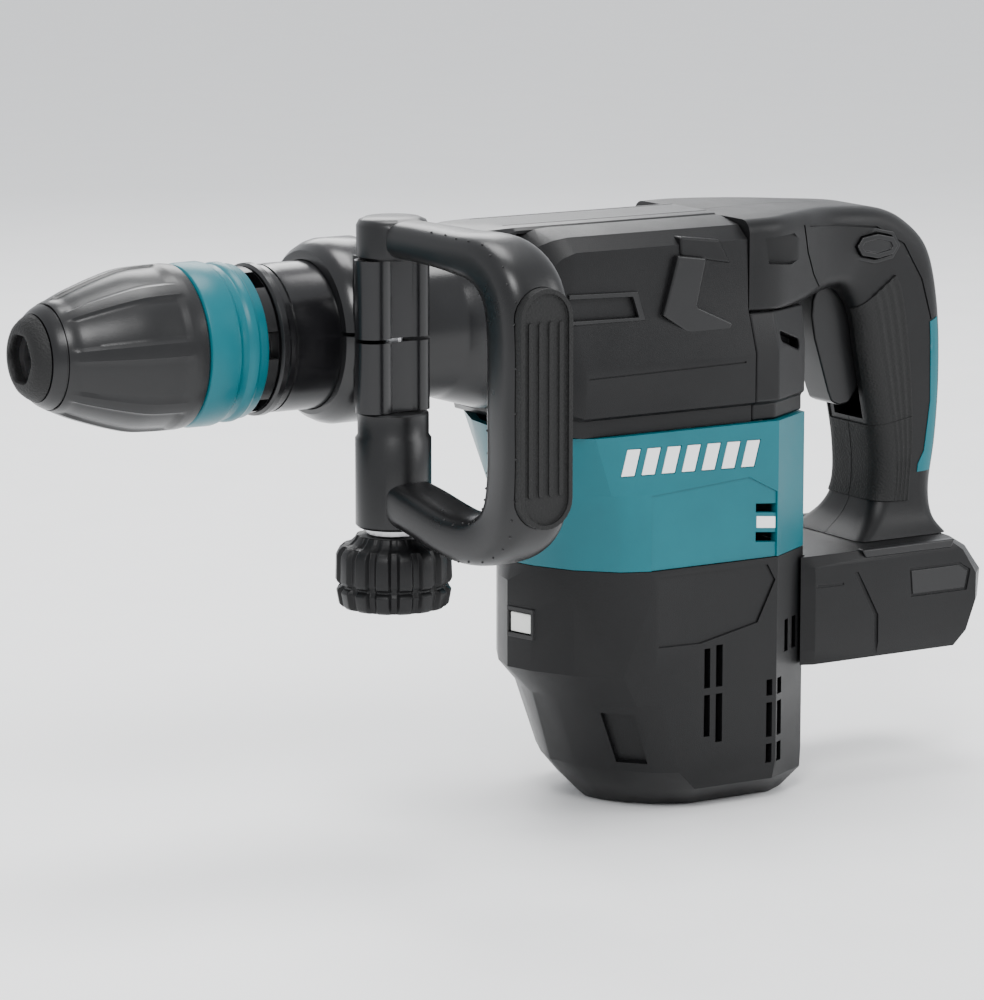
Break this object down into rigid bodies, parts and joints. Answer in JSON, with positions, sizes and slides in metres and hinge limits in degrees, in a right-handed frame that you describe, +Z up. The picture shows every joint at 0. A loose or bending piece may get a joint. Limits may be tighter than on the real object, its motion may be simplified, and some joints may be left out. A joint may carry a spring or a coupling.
{
  "type": "electric jackhammer",
  "caption": "Cordless electric demolition hammer: turned chuck with sprung release sleeve, swinging side handle, crank and piston drive, vertical motor and rear trigger grip.",
  "frame": {"origin": "middle of the flat underside of the motor housing", "axes": "-X is forward towards the bit, +Z up, -Y is the side of the side handle"},
  "size_m": [0.45, 0.195, 0.2633],
  "materials": {
    "black_plastic": "satin moulded",
    "black_coated_metal": "satin coated",
    "teal_plastic": "satin moulded",
    "black_rubber": "fine textured",
    "ground_steel": "ground",
    "dark_steel": "machined, oiled",
    "cast_aluminium": "cast",
    "wound_copper": "enamelled windings",
    "lamp_lens": "clear moulded",
    "zinc_screw": "zinc plated"
  },
  "bodies": {
    "housing": {"barrel_housing": "black_coated_metal", "cylinder": "ground_steel", "upper_housing": "black_plastic", "spine_cover": "black_plastic", "rear_cover": "black_plastic", "gear_housing": "teal_plastic", "motor_housing": "black_plastic", "lamp_lens": "lamp_lens", "bearing_plate": "cast_aluminium", "gear_case": "cast_aluminium", "crank_bearing_upper": "ground_steel", "crank_bearing_lower": "ground_steel", "motor_bearing_upper": "ground_steel", "motor_bearing_lower": "ground_steel", "stator": "wound_copper", "battery_block": "black_plastic", "terminal_block": "black_plastic", "battery_rail_left": "ground_steel", "battery_rail_right": "ground_steel", "handle_left": "black_plastic", "handle_right": "black_plastic", "grip_pad_left": "black_rubber", "grip_pad_right": "black_rubber", "accent_left": "teal_plastic", "accent_right": "teal_plastic", "switch_body": "black_plastic", "trigger_pin": "ground_steel", "screw_lower": "zinc_screw", "screw_motor": "zinc_screw", "screw_upper_front": "zinc_screw", "screw_upper_rear": "zinc_screw", "damper_spring_front": "ground_steel", "damper_spring_rear": "ground_steel"},
    "chuck": {"tool_holder": "ground_steel", "dust_cap": "black_rubber", "lock_roller_upper": "ground_steel", "lock_roller_lower": "ground_steel", "release_spring": "ground_steel"},
    "release_sleeve": {"release_cover": "black_plastic", "release_ring": "teal_plastic"},
    "angle_ring": {"change_ring": "black_plastic"},
    "impact_bolt": {"impact_bolt": "ground_steel"},
    "striker": {"striker": "dark_steel"},
    "piston": {"piston": "cast_aluminium"},
    "crank": {"crankshaft": "dark_steel", "crank_gear": "dark_steel"},
    "rod": {"connecting_rod": "cast_aluminium", "wrist_pin": "ground_steel"},
    "motor_rotor": {"rotor": "dark_steel", "rotor_shaft": "ground_steel", "cooling_fan": "black_plastic"},
    "counterweight": {"counterweight": "dark_steel"},
    "handle_clamp": {"clamp_band": "black_coated_metal", "clamp_bolt": "ground_steel", "knob_washer": "ground_steel"},
    "side_handle": {"side_grip": "black_plastic", "side_grip_pad": "black_rubber"},
    "clamp_knob": {"clamp_knob": "black_plastic"},
    "trigger": {"trigger": "black_plastic"},
    "lock_button": {"lock_button": "black_plastic"}
  },
  "joints": [
    {"name": "chuck_turn", "type": "hinge", "parent": "housing", "child": "chuck", "pos_m": [-0.246, 0, 0.2106], "axis": [1, 0, 0], "continuous": true},
    {"name": "sleeve_slide", "type": "slide", "parent": "chuck", "child": "release_sleeve", "axis": [1, 0, 0], "range_m": [0, 0.006], "stiffness_N_per_m": 900, "springref_m": -0.006, "deforming": ["release_spring"]},
    {"name": "angle_ring_slide", "type": "slide", "parent": "chuck", "child": "angle_ring", "axis": [-1, 0, 0], "range_m": [0, 0.002], "stiffness_N_per_m": 900, "springref_m": -0.004},
    {"name": "impact_bolt_slide", "type": "slide", "parent": "chuck", "child": "impact_bolt", "axis": [1, 0, 0], "range_m": [-0.004, 0]},
    {"name": "striker_slide", "type": "slide", "parent": "housing", "child": "striker", "axis": [1, 0, 0], "range_m": [-0.008, 0]},
    {"name": "piston_slide", "type": "slide", "parent": "housing", "child": "piston", "axis": [1, 0, 0], "range_m": [-0.018, 0]},
    {"name": "crank_spin", "type": "hinge", "parent": "housing", "child": "crank", "pos_m": [-0.045, 0, 0.1906], "axis": [0, 0, 1], "continuous": true},
    {"name": "rod_swing", "type": "hinge", "parent": "crank", "child": "rod", "pos_m": [-0.036, 0, 0.2106], "axis": [0, 0, 1], "continuous": true},
    {"name": "rotor_spin", "type": "hinge", "parent": "housing", "child": "motor_rotor", "pos_m": [-0.011, 0, 0.0706], "axis": [0, 0, 1], "continuous": true},
    {"name": "counterweight_slide", "type": "slide", "parent": "housing", "child": "counterweight", "axis": [1, 0, 0], "range_m": [-0.006, 0.006], "stiffness_N_per_m": 4000, "deforming": ["damper_spring_front", "damper_spring_rear"]},
    {"name": "clamp_swing", "type": "hinge", "parent": "housing", "child": "handle_clamp", "pos_m": [-0.168, 0, 0.2106], "axis": [1, 0, 0], "continuous": true},
    {"name": "side_handle_swing", "type": "hinge", "parent": "handle_clamp", "child": "side_handle", "pos_m": [-0.168, -0.05, 0.2106], "axis": [0, 0, 1], "range_deg": [-50, 40]},
    {"name": "knob_turn", "type": "hinge", "parent": "handle_clamp", "child": "clamp_knob", "pos_m": [-0.168, -0.05, 0.1206], "axis": [0, 0, 1], "continuous": true},
    {"name": "trigger_pull", "type": "hinge", "parent": "housing", "child": "trigger", "pos_m": [0.092, 0, 0.2146], "axis": [0, -1, 0], "range_deg": [0, 7], "stiffness_Nm_per_rad": 1.2, "springref_deg": -11.46},
    {"name": "lock_button_press", "type": "slide", "parent": "housing", "child": "lock_button", "axis": [0, 1, 0], "range_m": [0, 0.003], "stiffness_N_per_m": 700, "springref_m": -0.003}
  ],
  "couplings": [
    {"joint": "rod_swing", "follows": "crank_spin", "ratio": -1},
    {"joint": "rotor_spin", "follows": "crank_spin", "ratio": -5.75}
  ]
}
